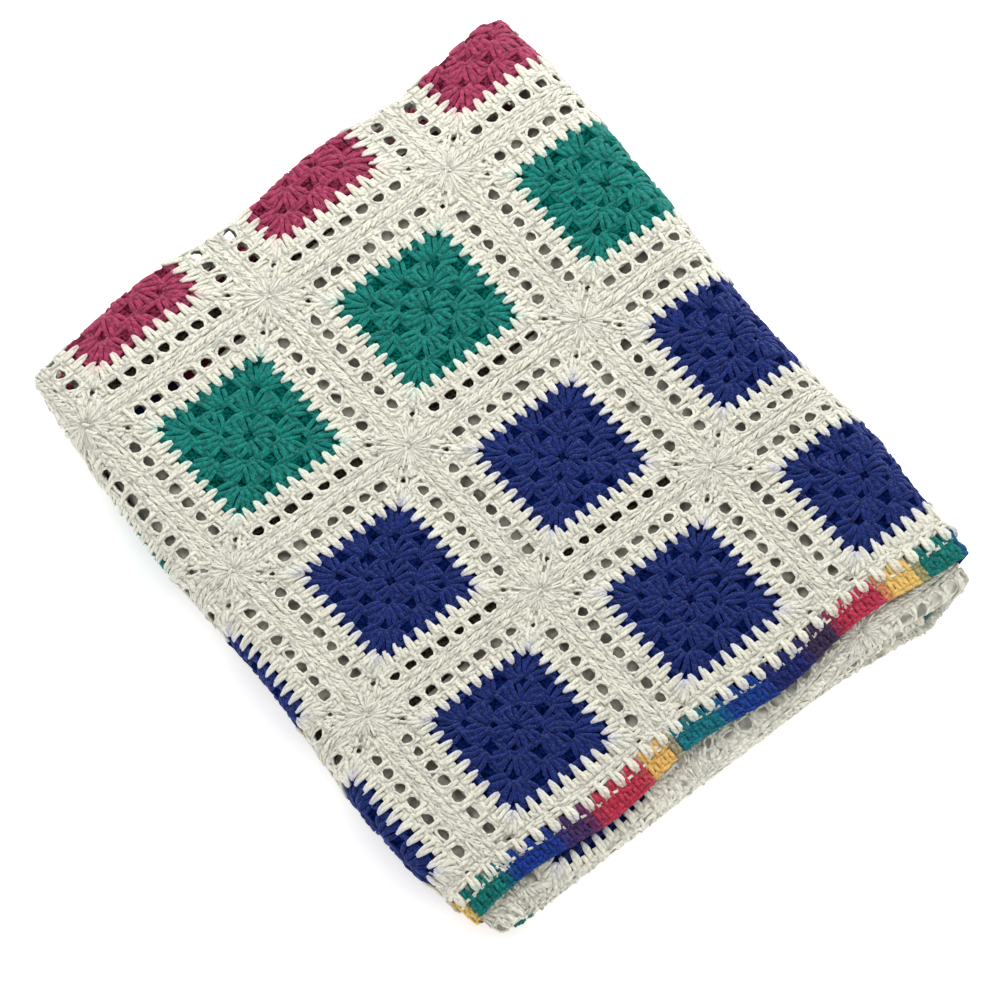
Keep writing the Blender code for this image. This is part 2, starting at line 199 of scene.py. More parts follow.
# Rows of V's along a side: how many, step, place outwards and length, as shares
# of a square, and in metres spread, lift and radius
V_ROWS = {
    "raw edge": (20, 0.0500, 0.3940, 0.0580, 0.0013, 0.0006, YARN),
    "filet": (16, 0.0515, 0.4550, 0.0560, 0.0012, 0.0003, YARN),
    "seam": (SEAM_STITCHES, SEAM_STEP, 0.4755, 1.3 * SEAM_STEP, 0.0015, 0.0005, FINE_YARN),
}

# Posts, from base to tip: half the distance between the two strands, and
# their thickness as a share of the yarn's
CENTRE_POST = ((0.0009, 0.95), (0.0013, 1.15), (0.0016, 1.25), (0.0016, 1.2), (0.0013, 1.0))
TOOTH_POST = ((0.0003, 0.60), (0.0007, 1.05), (0.0009, 1.15), (0.0011, 1.10), (0.0012, 1.05),
              (0.0012, 1.00))
FILET_POST = ((0.0017, 1.0), (0.0011, 1.0), (0.0010, 1.0), (0.0011, 1.0), (0.0017, 1.0))
BUMP_POST = ((0.0016, 1.0), (0.0012, 1.1), (0.0012, 1.2), (0.0014, 1.3), (0.0013, 1.3),
             (0.0005, 0.9))
EDGE_POST = ((0.0009, 0.9), (0.0012, 1.05), (0.0013, 1.05), (0.0013, 0.95))
# and their heights over the cloth's middle at base, middle and tip
CENTRE_LIFTS = (0.0000, 0.0006, 0.0000)
TOOTH_LIFTS = (0.0018, 0.0012, 0.0002)
FILET_LIFTS = (0.0002, 0.0007, 0.0000)
BUMP_LIFTS = (0.0006, 0.0022, 0.0018)
EDGE_LIFTS = (0.0002, 0.0008, 0.0000)

# The edging's two rounds of single crochet, as shares of a square
EDGE_STEP = 0.047
EDGE_ROUNDS = ((0.412, 0.490), (0.488, 0.543))
EDGE_V_LIFT = 0.0004
SIDE_BAND = 0.15 * SQUARE  # this near its outer edge the band is striped along the rows
BAND_SHADE = 0.6  # painted shade: share of its colour that the band under the stitches keeps

# Which places show, in the cloth's own u and v
LEFT_SHOWS = -2.12 * SQUARE  # the outer cloth as far as this behind the left turn
NEAR_SHOWS = (0.16 * SQUARE, 0.08 * SQUARE)  # before and past the near turn
FAR_SHOWS = (0.08 * SQUARE, 0.10 * SQUARE)  # and the far one
RAW_SHOWS = -1.34 * SQUARE  # the near raw edge
STITCHES_END = 0.468 * SQUARE  # an edge square's middle to its outermost stitches
UNDER_U = (1.68 * SQUARE, 4.38 * SQUARE)  # the underside, on which the stack lies
UNDER_V = (-1.35 * SQUARE, 1.78 * SQUARE)
INNER_V = (2.1 * SQUARE, 4.9 * SQUARE)  # the leaf that only shows through the spaces

# The ground cloth's grid
FINE_U = (-2.2 * SQUARE, 2.2 * SQUARE)  # close lines for the squares in these stretches
FINE_V = (-2.0 * SQUARE, 2.2 * SQUARE)
OPEN_END = 2.5 * SQUARE  # the filet spaces are open as far as this
WIDE_LINES = 8  # in a square elsewhere
TURN_MARGIN = 0.014  # extra lines run on this far beyond each turn
TURN_LINES = 24
LEAST_CELL = 0.0008

# The wools, as sRGB
CREAM = (0.90, 0.89, 0.83)
GREEN = (0.03, 0.47, 0.43)
BLUE = (0.07, 0.15, 0.42)
PINK = (0.63, 0.22, 0.35)
SHADED = (0.48, 0.43, 0.37)  # painted shade: a dark warm tone for the centres of the leaf that only shows through the spaces
# painted highlight: pale specks of light on the yarn's fibre ends
FIBRE_HIGHLIGHT = (0.80, 0.82, 0.86)
ROW_WOOLS = (BLUE, BLUE, GREEN, PINK, GREEN, BLUE, BLUE, GREEN, PINK, GREEN)
GREEN_SPREAD = 1.035  # the green wool works up a little wider than the others
TOOTH_GLOW = 0.22  # painted reflected light: share of a bright tone of the colour next to it that white wool takes on
# painted reflected light on the bumps' tips, from the edging's colours
BUMP_GLOW = 0.18

# The edging's self-striping wool: each colour from where to where along the
# yarn, in squares, and the length after which the colours start again
STRIPE_REPEAT = 2.62
STRIPES = (
    (-0.05, 0.07, (0.92, 0.76, 0.43)),
    (0.13, 0.30, (0.02, 0.45, 0.42)),
    (0.38, 0.60, (0.05, 0.20, 0.54)),
    (0.68, 0.78, (0.26, 0.16, 0.36)),
    (0.86, 1.12, (0.74, 0.20, 0.30)),
    (1.17, 1.27, (0.91, 0.72, 0.40)),
    (1.34, 1.54, (0.06, 0.45, 0.50)),
    (1.62, 1.80, (0.05, 0.22, 0.54)),
    (1.88, 2.04, (0.08, 0.13, 0.40)),
    (2.10, 2.22, (0.22, 0.15, 0.28)),
    (2.29, 2.51, (0.74, 0.20, 0.31)),
)
STRIPE_START = 1.83

# The finishes
WOOL_SURFACE = {
    "Roughness": 0.95, "Specular IOR Level": 0.08, "Sheen Weight": 0.08, "Sheen Roughness": 0.5,
    "Subsurface Weight": 0.5, "Subsurface Radius": (1.0, 1.0, 1.0), "Subsurface Scale": 0.0010,
}
GROUND_SURFACE = {"Roughness": 0.95, "Specular IOR Level": 0.0}
PLIES = 3
PLY_TURNS = 1.2  # in a centimetre
PLY_DEPTH = 0.45  # against the fuzz
GROUND_CENTRE = 0.325  # half a coloured centre, as a share of a square

# The studio
FLOOR_HALF = 6.0
FLOOR_TONE = (0.96, 0.96, 0.96)
# painted light: the floor's own glow, which washes out the stack's shadow and lights its lower sides
FLOOR_GLOW = 0.46
SURROUND = 0.80  # strength of the even white light from all round
LIGHTS = (  # name, position, side of its square and watts
    ("key", (0.50, 0.65, 0.80), 0.8, 7.5),
    ("fill", (-0.60, 0.50, 1.50), 1.2, 3.5),
    ("low_fill", (0.90, -1.00, 0.22), 0.6, 3.0),
)

# The camera, level with the photograph's
VIEW_AZIMUTH = math.radians(-39.0)
VIEW_ELEVATION = math.radians(61.5)
VIEW_CENTRE = (-0.341 * SQUARE, -0.014 * SQUARE, STACK)
VIEW_DISTANCE = 10.0
PHOTO_PIXELS = 1000  # the photograph's width
SQUARE_PIXELS = 220.5  # and a square's in it
PICTURE_SPAN = PHOTO_PIXELS / SQUARE_PIXELS * SQUARE


def smooth_step(value, start, end):
    """0 before start, 1 past end, and a smooth S between them."""
    share = np.clip((value - start) / (end - start), 0.0, 1.0)
    return share * share * (3.0 - 2.0 * share)


def linear(colour):
    """sRGB to linear light, the colour space of the shaders."""
    value = np.asarray(colour, dtype=float)
    return np.where(value <= 0.04045, value / 12.92, ((value + 0.055) / 1.055) ** 2.4)


# ------------------------------------------------------------------- the folds
def far_centre(x):
    """Middle line of the far turn, which runs slightly askew."""
    return FAR_EDGE + FAR_SKEW * x - FOLD_TURN


def near_centre(x):
    """Middle line of the near turn, the same for every x."""
    return np.full_like(x, NEAR_EDGE + FOLD_TURN)


def middle_stretch(x):
    """How much longer the middle leaf lies than it was worked."""
    bend = MIDDLE_BEND * smooth_step(-x, *MIDDLE_BEND_REACH)
    return MIDDLE_STRETCH - MIDDLE_SKEW * x - bend


def near_turn_start(x):
    """The v at which the middle leaf ends and the near turn begins."""
    far = far_centre(x)
    return far + TURN_ARC + (far - near_centre(x)) / middle_stretch(x)


def left_centre(y):
    """Middle line of the left turn."""
    return LEFT_EDGE + LEFT_SKEW * y + LEFT_BOW * y * y + LEFT_TURN


def right_centre(y):
    """Middle line of the right turn, which wavers a little."""
    return RIGHT_EDGE + RIGHT_WAVE * np.cos(RIGHT_WAVE_TURN * y + RIGHT_WAVE_START) - RIGHT_TURN


def fold_rows(v, lift, x):
    """First fold: a flat v becomes y and a depth below the slab's outside.

    The top leaf has y = v.  Each turn is half a circle of half a layer's
    radius, and the middle and inner leaves run back and forth from it.
    """
    radius = LAYER / 2
    far, near, near_start = far_centre(x), near_centre(x), near_turn_start(x)
    far_angle = np.clip((v - far) / radius, 0.0, math.pi)
    near_angle = np.clip((v - near_start) / radius, 0.0, math.pi)
    y = np.where(v < far, v, far) + (radius + lift) * np.sin(far_angle)
    depth = LAYER - (radius + lift) * np.cos(far_angle)
    back = v >= far + TURN_ARC
    y = np.where(back, far - (v - far - TURN_ARC) * middle_stretch(x), y)
    depth = np.where(back, 1.5 * LAYER + lift, depth)
    turning = v >= near_start
    y = np.where(turning, near - (radius - lift) * np.sin(near_angle), y)
    depth = np.where(turning, 2 * LAYER - (radius - lift) * np.cos(near_angle), depth)
    forth = v >= near_start + TURN_ARC
    y = np.where(forth, near + (v - near_start - TURN_ARC), y)
    depth = np.where(forth, 2.5 * LAYER - lift, depth)
    return y, depth


def fold_columns(u, depth, y):
    """Second fold: a flat u and a depth in the slab become x and z.

    The slab lies outside up on top, goes round two half circles whose radius
    shrinks with depth, and lies outside down in the two leaves beneath.
    """
    left, right = left_centre(y), right_centre(y)
    under_end = left - math.pi * (LEFT_TURN - LAYER / 2)
    bottom_start = right + math.pi * (RIGHT_TURN - LAYER / 2)
    left_angle = np.clip((left - u) / (LEFT_TURN - LAYER / 2), 0.0, math.pi)
    right_angle = np.clip((u - right) / (RIGHT_TURN - LAYER / 2), 0.0, math.pi)
    x = np.clip(u, left, right) - (LEFT_TURN - depth) * np.sin(left_angle)
    x = x + (RIGHT_TURN - depth) * np.sin(right_angle)
    z = STACK - depth
    z = np.where(u < left, STACK - LEFT_TURN + (LEFT_TURN - depth) * np.cos(left_angle), z)
    z = np.where(u > right, STACK - RIGHT_TURN + (RIGHT_TURN - depth) * np.cos(right_angle), z)
    first, last = COLUMNS[0] * SQUARE - RIM, COLUMNS[-1] * SQUARE + RIM
    under_pack = (UNDER_END - left) / (under_end - first)
    bottom_pack = (right - BOTTOM_END + LEFT_EDGE + LEFT_TURN - left) / (last - bottom_start)
    x = np.where(u < under_end, left + under_pack * (under_end - u), x)
    x = np.where(u > bottom_start, right - bottom_pack * (u - bottom_start), x)
    return x, z


def drift(x, y):
    """Where the uneven squares lie, from the table's rows joined smoothly."""
    shifts = [np.zeros_like(y) + value for value in DRIFT[0][1:]]
    for before, after in zip(DRIFT, DRIFT[1:]):
        share = smooth_step(y, before[0] * SQUARE, after[0] * SQUARE)
        for index in range(3):
            shifts[index] = shifts[index] + (after[index + 1] - before[index + 1]) * share
    return x + shifts[0] * SQUARE + shifts[1] * x, y + shifts[2] * SQUARE


def settle(x, y, z):
    """The uneven lie of the whole stack, the same for every layer of it."""
    waves = 0.0
    for height, along_x, along_y, start in SWELL_WAVES:
        waves = waves + height * np.sin(along_x * x + along_y * y + start)
    sink = FAR_SINK * smooth_step(y, *FAR_SINK_REACH)
    sink = sink + NEAR_SINK * smooth_step(-y, *NEAR_SINK_REACH)
    bulge = SCALLOP * np.cos(2 * math.pi * (x - SCALLOP_SHIFT) / SQUARE)
    y = y + bulge * smooth_step(y, *SCALLOP_REACH)
    near_share = smooth_step(-y, *NEAR_REACH)
    deep = 1.0 - z / STACK
    corner_share = smooth_step(-y, *CORNER_REACH)
    wave = NEAR_SCALLOP * np.cos(2 * math.pi * (x - NEAR_SCALLOP_SHIFT) / SQUARE)
    on_top = 1.0 - smooth_step(deep, *NEAR_SCALLOP_DEPTHS)
    y = y - (wave - NEAR_SCALLOP / 2) * corner_share * on_top
    tuck = TUCK * smooth_step(deep, *TUCK_DEPTHS) - UNTUCK * smooth_step(deep, *UNTUCK_DEPTHS)
    right_tuck = tuck * smooth_step(x, *TUCK_REACH)
    left_tuck = LEFT_TUCK * deep * smooth_step(-x, *LEFT_TUCK_REACH)
    x = x + left_tuck * corner_share - right_tuck * near_share
    recede = RECEDE * deep * (1.0 - smooth_step(x, *RECEDE_REACH))
    y = y + (NEAR_TILT * x + recede) * near_share
    x, y = drift(x, y)
    return x, y, z * (1.0 + SWELL * waves - sink)


def fold(points):
    """Flat points (u, v, lift over the cloth's middle) to the folded stack."""
    u, v, lift = points[..., 0], points[..., 1], points[..., 2]
    lift = np.where(v > HALF_BACK, -lift, lift)
    nominal_x, _ = fold_columns(u, 0.5 * LAYER, np.zeros_like(u))
    y, depth = fold_rows(v, lift, nominal_x)
    x, z = fold_columns(u, depth, y)
    return np.stack(settle(x, y, z), axis=-1)


def stack_shift():
    """From the fold formulas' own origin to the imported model's.

    The solid cloth's two skins are folded on an even grid, and the middle
    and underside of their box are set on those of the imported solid.
    """
    u = np.linspace(COLUMNS[0] * SQUARE - RIM, COLUMNS[-1] * SQUARE + RIM, SKIN_GRID[0])
    v = np.linspace(ROWS[0] * SQUARE - RIM + EDGING_WIDTH, ROWS[-1] * SQUARE + RIM, SKIN_GRID[1])
    grid = np.stack(np.meshgrid(u, v, [-CLOTH / 2, CLOTH / 2], indexing="ij"), axis=-1)
    points = fold(grid).reshape(-1, 3)
    low, high = points.min(axis=0), points.max(axis=0)
    solid_low, solid_high = (np.array(corner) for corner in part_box("blanket"))
    shift = (solid_low + solid_high) / 2 - (low + high) / 2
    shift[2] = solid_low[2] - low[2]
    return shift


SHIFT = stack_shift()


def place(points):
    """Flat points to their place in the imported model's frame.

    The undermost stitches are pressed flat on the surface they lie on.
    """
    placed = fold(points) + SHIFT
    placed[..., 2] = np.maximum(placed[..., 2], FLOOR_GAP)
    return placed


# ------------------------------------------------------------- meshes and yarn
def quad_mesh(name, points, quads, uv, colours, material):
    """A smooth mesh of four-sided faces, with a UV map and a wool colour."""
    mesh = bpy.data.meshes.new(name)
    mesh.vertices.add(len(points))
    mesh.vertices.foreach_set("co", points.astype(np.float32).ravel())
    mesh.loops.add(quads.size)
    mesh.loops.foreach_set("vertex_index", quads.astype(np.int32).ravel())
    mesh.polygons.add(len(quads))
    mesh.polygons.foreach_set("loop_start", np.arange(0, quads.size, 4, dtype=np.int32))
    mesh.polygons.foreach_set("use_smooth", np.ones(len(quads), dtype=bool))
    layer = mesh.uv_layers.new(name="along_yarn")
    layer.data.foreach_set("uv", uv.astype(np.float32).ravel())
    wool = mesh.color_attributes.new("wool", "FLOAT_COLOR", "POINT")
    rgba = np.concatenate([colours, np.ones((len(colours), 1))], axis=1)
    wool.data.foreach_set("color", rgba.astype(np.float32).ravel())
    mesh.materials.append(material)
    mesh.update(calc_edges=True)
    piece = bpy.data.objects.new(name, mesh)
    bpy.context.scene.collection.objects.link(piece)
    return piece


class Yarn:
    """Strands gathered from many stitches: centre lines, radii and wools."""

    def __init__(self):
        self.batches = {}

    def add(self, lines, radii, colours):
        """lines (S, K, 3) flat, radii (S, K) in metres, colours (S, K, 3)."""
        self.batches.setdefault(lines.shape[1], []).append((lines, radii, colours))

    def tubes(self):
        """Four-sided closed tubes along all the strands, folded into place.

        Each ring stands square to its strand: one axis lies in the cloth and
        the other points out of it.  Ring corners are at the diagonals.
        """
        points, quads, uvs, colours = [], [], [], []
        start = 0
        for count, batch in self.batches.items():
            lines = np.concatenate([b[0] for b in batch])
            radii = np.concatenate([b[1] for b in batch])
            wools = np.concatenate([b[2] for b in batch])
            tangent = np.gradient(lines, axis=1)
            tangent /= np.linalg.norm(tangent, axis=2, keepdims=True) + 1e-12
            across = np.stack([-tangent[..., 1], tangent[..., 0],
                               np.zeros(tangent.shape[:2])], axis=-1)
            across /= np.linalg.norm(across, axis=2, keepdims=True) + 1e-9
            out = np.cross(tangent, across)
            angle = np.arange(4) * math.pi / 2 + math.pi / 4
            ring = (np.cos(angle)[:, None] * across[:, :, None, :]
                    + np.sin(angle)[:, None] * out[:, :, None, :])
            corners = lines[:, :, None, :] + ring * radii[:, :, None, None] * TUBE_CORNER
            strands = len(lines)
            index = start + np.arange(strands * count * 4).reshape(strands, count, 4)
            around = np.roll(index, -1, axis=2)
            walls = np.stack([index[:, :-1], around[:, :-1], around[:, 1:], index[:, 1:]], axis=-1)
            caps = np.stack([index[:, 0, ::-1], index[:, -1]], axis=1)
            step = np.linalg.norm(np.diff(lines, axis=1), axis=2)
            length = np.concatenate([np.zeros((strands, 1)), np.cumsum(step, axis=1)], axis=1)
            along = np.broadcast_to(length[:, :, None] / CENTIMETRE, (strands, count, 5))
            uv = np.stack([along, np.broadcast_to(np.arange(5) / 4, along.shape)], axis=-1)
            wall_uv = np.stack([uv[:, :-1, :-1], uv[:, :-1, 1:], uv[:, 1:, 1:], uv[:, 1:, :-1]],
                               axis=-2)
            cap_uv = np.zeros((strands * 2, 4, 2))
            points.append(corners.reshape(-1, 3))
            quads += [walls.reshape(-1, 4), caps.reshape(-1, 4)]
            uvs += [wall_uv.reshape(-1, 4, 2), cap_uv]
            # painted shade: the two lower corners of every ring keep only a share of the wool
            under = np.tile([1.0, 1.0, UNDERSIDE_SHADE, UNDERSIDE_SHADE], wools.size // 3)
            colours.append(np.repeat(wools.reshape(-1, 3), 4, axis=0) * under[:, None])
            start += strands * count * 4
        return (place(np.concatenate(points)), np.concatenate(quads),
                np.concatenate(uvs), np.concatenate(colours))


def raised(flat, height):
    """Flat lines (S, K, 2) with a height at each of their points."""
    return np.concatenate([flat, np.broadcast_to(height, flat.shape[:2])[..., None]], axis=-1)


def parabola(a, b, c, t):
    """Through a, b and c at t of 0, 1/2 and 1."""
    return a * (1 - t) * (1 - 2 * t) + 4 * b * t * (1 - t) + c * t * (2 * t - 1)


def leftwards(flat):
    """Flat directions (S, 2) turned a quarter to the left."""
    return np.stack([-flat[:, 1], flat[:, 0]], axis=-1)


def unit(vector):
    """Vectors scaled to length one along their last axis."""
    return vector / (np.linalg.norm(vector, axis=-1, keepdims=True) + 1e-12)


def post_strands(base, tip, shape, lifts, radius=YARN):
    """The two plied strands of each stitch's post, from base to tip.

    shape gives the strands' distance from the post's line and their thickness
    at even steps from base to tip: rows of (width in metres, thickness as a
    share of radius).  They wind round that line by TWIST of a half circle,
    and lifts are the heights at base, middle and tip, on a parabola.
    """
    widths, thick = np.array(shape).T
    t = np.linspace(0.0, 1.0, len(widths))
    axis = tip - base
    side = unit(leftwards(axis))
    rise = parabola(*lifts, t)
    lines = []
    for phase in (0.0, math.pi):
        angle = phase + math.pi * TWIST * (t - 0.5)
        offset = side[:, None, :] * (widths * np.cos(angle))[None, :, None]
        flat = base[:, None, :] + axis[:, None, :] * t[None, :, None] + offset
        lines.append(raised(flat, rise + widths * np.sin(angle)))
    lines = np.concatenate(lines)
    return lines, np.broadcast_to(radius * thick, lines.shape[:2])


def plait_strands(middle, along, length, spread, lift, steps=4, radius=YARN):
    """The V of two strands that lies over each stitch, one after another.

    Both strands start together behind the V's middle and part towards its
    front, spread to each side, on a low arc over the cloth.
    """
    t = np.linspace(0.0, 1.0, steps)
    along = unit(along)
    across = leftwards(along)
    lines = []
    for sign in (-1.0, 1.0):
        reach = (length * (V_LENGTH * t - V_BEHIND))[None, :, None]
        parting = V_CLOSED + (1.0 - V_CLOSED) * np.sin(math.pi / 2 * t)
        parting = (sign * spread * parting)[None, :, None]
        flat = middle[:, None, :] + along[:, None, :] * reach + across[:, None, :] * parting
        lines.append(raised(flat, lift + V_ARC * (np.sin(math.pi * t) - 0.5)))
    lines = np.concatenate(lines)
    taper = V_TAPER + (1.0 - V_TAPER) * np.sin(math.pi * t)
    return lines, np.broadcast_to(radius * taper, lines.shape[:2])


def loop_strand(start, middle, end, lift, steps=5, radius=YARN):
    """One strand bent through three flat points, on a parabola."""
    t = np.linspace(0.0, 1.0, steps)[None, :, None]
    flat = parabola(start[:, None, :], middle[:, None, :], end[:, None, :], t)
    return raised(flat, lift), np.full(flat.shape[:2], radius)


def straight_strand(start, end, lift, radius):
    """One straight strand of four points from each start to each end."""
    return loop_strand(start, (start + end) / 2, end, lift, steps=4, radius=radius)


def ring_strand(middle, along, half_along, half_across, lift, radius=YARN, flare=0.0):
    """A strand laid once round each flat middle, on an ellipse.

    flare is the share by which the ellipse widens towards its across side.
    """
    t = np.linspace(0.0, 2 * math.pi, 9)
    across = leftwards(along)
    reach = half_along[:, None] * np.cos(t) * (1.0 + flare * np.sin(t))
    flat = middle[:, None, :] + along[:, None, :] * reach[..., None]
    flat = flat + across[:, None, :] * (half_across[:, None] * np.sin(t))[..., None]
    return raised(flat, lift), np.full(flat.shape[:2], radius)


# ------------------------------------------------------------------ one square
def pairs(values):
    """A short table of flat points, in shares of a square's side."""
    return np.array(values, dtype=float) * SQUARE


def mirrored(points):
    """The points and their mirror images across the side's middle."""
    return np.concatenate([points, points * (-1, 1)])


def evenly(count, step):
    """Places along a side, a step apart to both sides of its middle."""
    return (np.arange(count) - (count - 1) / 2) * step


def side_row(places, outward):
    """Points along a side at places, all equally far outwards."""
    return np.stack([places, np.full(len(places), outward)], axis=-1) * SQUARE


def even_posts(count, step, base, tip, spread=1.0):
    """Bases and tips of a row of posts, with the tips spread further apart."""
    places = evenly(count, step)
    return side_row(places, base), side_row(places * spread, tip)


def side_points():
    """Where the stitches of one side stand: bases and tips of each round.

    The first number of a point runs along the side and the second outwards.
    Those of a corner cluster are given at one end, and mirrored to the other.
    """
    posts = {}
    posts["ring 1"] = (
        pairs([(-0.018, 0.022), (0.0, 0.018), (0.018, 0.022)]),
        pairs([(-0.045, 0.103), (0.0, 0.109), (0.045, 0.103)]))
    posts["ring 2"] = (
        mirrored(pairs([(0.064, 0.098), (0.080, 0.100), (0.096, 0.102)])),
        mirrored(pairs([(0.036, 0.192), (0.085, 0.198), (0.136, 0.198)])))
    middle = (pairs([(-0.016, 0.188), (0.0, 0.184), (0.016, 0.188)]),
              pairs([(-0.0570, 0.284), (0.0, 0.288), (0.0570, 0.284)]))
    corner = (mirrored(pairs([(0.150, 0.186), (0.166, 0.188), (0.182, 0.190)])),
              mirrored(pairs([(0.124, 0.284), (0.182, 0.288), (0.242, 0.288)])))
    white_fan = (mirrored(pairs([(0.276, 0.277), (0.288, 0.287)])),
                 mirrored(pairs([(0.310, 0.366), (0.350, 0.368)])))
    filet_fan = (mirrored(pairs([(0.366, 0.402)])), mirrored(pairs([(0.410, 0.450)])))
    rounds = (("ring 3", middle, corner),
              ("white 1", even_posts(*WHITE_POSTS), white_fan),
              ("filet", even_posts(*FILET_POSTS), filet_fan))
    for name, inner, outer in rounds:
        posts[name] = tuple(np.concatenate(ends) for ends in zip(inner, outer))
    return posts


def turned(points, side):
    """Points of one side turned to side 0 to 3 of the square."""
    angle = side * math.pi / 2
    c, s = round(math.cos(angle)), round(math.sin(angle))
    along, outward = points[..., 0], points[..., 1]
    return np.stack([along * s + outward * c, outward * s - along * c], axis=-1)


def along_side(count, side):
    """The direction of one side, once for each of its stitches."""
    return turned(np.tile([1.0, 0.0], (count, 1)), side)


class Square:
    """Works one square's stitches into a yarn store, round by round."""

    def __init__(self, yarn, column, row, rng):
        self.yarn = yarn
        self.middle = np.array([column, row]) * SQUARE
        self.rng = rng
        # by the numbers of turned(): the columns' direction is side 0
        self.outer = (column == COLUMNS[-1], row == ROWS[-1], column == COLUMNS[0], row == ROWS[0])
        self.centre_wool = linear(ROW_WOOLS[row - ROWS[0]])
        self.spread = GREEN_SPREAD if ROW_WOOLS[row - ROWS[0]] == GREEN else 1.0
        self.white_wool = linear(CREAM)
        self.posts = side_points()

    def work(self, made, wool, glow=0.0, cast=None, post=False):
        """Add strands, shaken a little, where they show.

        On the underside only posts are worked, and nothing that lies over them.

        glow is the share of a bright tone of the centre's wool that a strand's
        first point takes on, painted light that the coloured wool throws back.
        With cast, a wool for each strand, its last point takes on that one's
        painted light instead.
        """
        lines, radii = made
        lines = lines.copy()
        lines[..., :2] += self.middle
        shake = self.rng.normal(0.0, STITCH_SHAKE, (len(lines), 1, 3))
        lines += shake + self.rng.normal(0.0, POINT_SHAKE, lines.shape)
        at = lines[:, lines.shape[1] // 2, :2]
        shown = shown_places(at) & (post | ~underside_places(at))
        radii = radii * self.rng.uniform(*THICKNESS_RANGE, (len(lines), 1))
        tone = 1.0 + self.rng.uniform(*TONE_RANGE, (len(lines), 1, 1))
        t = np.linspace(0.0, 1.0, lines.shape[1])
        near_wool = self.centre_wool[None, :] if cast is None else cast
        mixed = glow * np.clip(1.0 - 2.0 * (t if cast is None else 1.0 - t), 0.0, 1.0)[:, None]
        bright = BRIGHT * near_wool / near_wool.max(axis=-1, keepdims=True)
        wools = wool * (1.0 - mixed) + bright[:, None, :] * mixed
        self.yarn.add(lines[shown], radii[shown], (wools * tone)[shown])

    def work_white(self, made, **light):
        """Add strands of the white wool, with the glow and cast that work() takes."""
        self.work(made, self.white_wool, **light)

    def ring(self, posts, wool, shape, lifts, glow=0.0):
        """One round of posts, with a V over each tip but the corner's outermost."""
        for side in range(4):
            base, tip = (turned(points, side) for points in posts)
            self.work(post_strands(base, tip, shape, lifts), wool, glow, post=True)
            tip = tip[np.abs(posts[1][:, 0]) < CORNER_CLEAR * SQUARE]
            along = along_side(len(tip), side)
            self.work(plait_strands(tip, along, ROUND_V * SQUARE, YARN, ROUND_LIFT), wool)

    def corner_loops(self, ends, middle, wool):
        """The two strands of the chain that turns each corner of a round."""
        for side in range(4):
            a, b, c = (turned(pairs([place]), side)
                       for place in (ends, (middle, middle), ends[::-1]))
            for sign in (-1.0, 1.0):
                outward = unit(b) * sign * CHAIN_HALF
                self.work(loop_strand(a + outward, b + outward, c + outward, LOW_LIFT), wool)

    def v_row(self, name, side):
        """A row of white V's along one side."""
        count, step, outward, length, spread, lift, radius = V_ROWS[name]
        at = turned(side_row(evenly(count, step), outward), side)
        self.work_white(plait_strands(at, along_side(count, side), length * SQUARE, spread, lift,
                                      radius=radius))

    def centre(self):
        """The three coloured rounds: clusters of three double crochets."""
        for name in ("ring 1", "ring 2", "ring 3"):
            spread = [points * self.spread for points in self.posts[name]]
            self.ring(spread, self.centre_wool, CENTRE_POST, CENTRE_LIFTS)
        for ends, middle in CENTRE_CHAINS:
            ends = (ends[0] * self.spread, ends[1] * self.spread)
            self.corner_loops(ends, middle * self.spread, self.centre_wool)

    def white_rounds(self):
        """Double crochets all round, then the filet round, or bumps over a raw edge."""
        base, tip = self.posts["white 1"]
        self.ring((base * self.spread, tip), self.white_wool, TOOTH_POST, TOOTH_LIFTS, TOOTH_GLOW)
        for side in range(4):
            start, end = (turned(points, side) for points in even_posts(*FILLS))
            self.work_white(straight_strand(start, end, LOW_LIFT, THICK_YARN))
        for side in range(4):
            if self.outer[side]:
                self.raw_edge(side)
            else:
                self.filet(side)
        self.corner_loops(*WHITE_CHAIN, self.white_wool)

    def raw_edge(self, side):
        """Bumps that reach over the edging, their tips tinted with painted light reflected from its
        colours, and V's behind them.
        """
        base, tip = (turned(points, side) for points in even_posts(*BUMPS))
        cast = np.tile(stripe_wool(self.middle[0] + tip[:, 0]), (2, 1))
        self.work_white(post_strands(base, tip, BUMP_POST, BUMP_LIFTS), glow=BUMP_GLOW, cast=cast)
        self.v_row("raw edge", side)

    def filet(self, side):
        """Posts with an open space between each two, and a strand round each space."""
        base, tip = (turned(points, side) for points in self.posts["filet"])
        self.work_white(post_strands(base, tip, FILET_POST, FILET_LIFTS))
        self.v_row("filet", side)
        spaces = turned(side_row(evenly(FILET_SPACES, FILET_STEP), sum(FILET_HOLE) / 2), side)
        size = self.rng.uniform(*SPACE_RANGE, (2, FILET_SPACES)) * np.array(SPACE_FRAME)
        self.work_white(ring_strand(spaces, along_side(FILET_SPACES, side), *size, SPACE_LIFT,
                                    radius=FINE_YARN, flare=SPACE_FLARE))
        outward = turned(np.tile(unit(np.array([1.0, 1.0])), (2, 1)), side)
        slits = turned(pairs(SLITS), side)
        self.work_white(ring_strand(slits, outward, *np.array(SLIT_FRAME), SLIT_LIFT,
                                    radius=FINE_YARN))
        knots = turned(mirrored(pairs(KNOTS)), side)
        size = np.full((2, len(knots)), KNOT)
        self.work_white(ring_strand(knots, along_side(len(knots), side), *size, ROUND_LIFT))

    def seam_round(self):
        """Single crochets drawn tight to the seam, and the seam's own stitches.

        A row of V's runs along each side, slanted stitches cross the seam on
        two sides only, and rays fan out from each corner inside the cloth.
        """
        for side in range(4):
            self.v_row("seam", side)
            if side < 2:
                self.seam_stitches(side)
            if not (self.outer[side] or self.outer[side - 1]):
                self.rays(side)

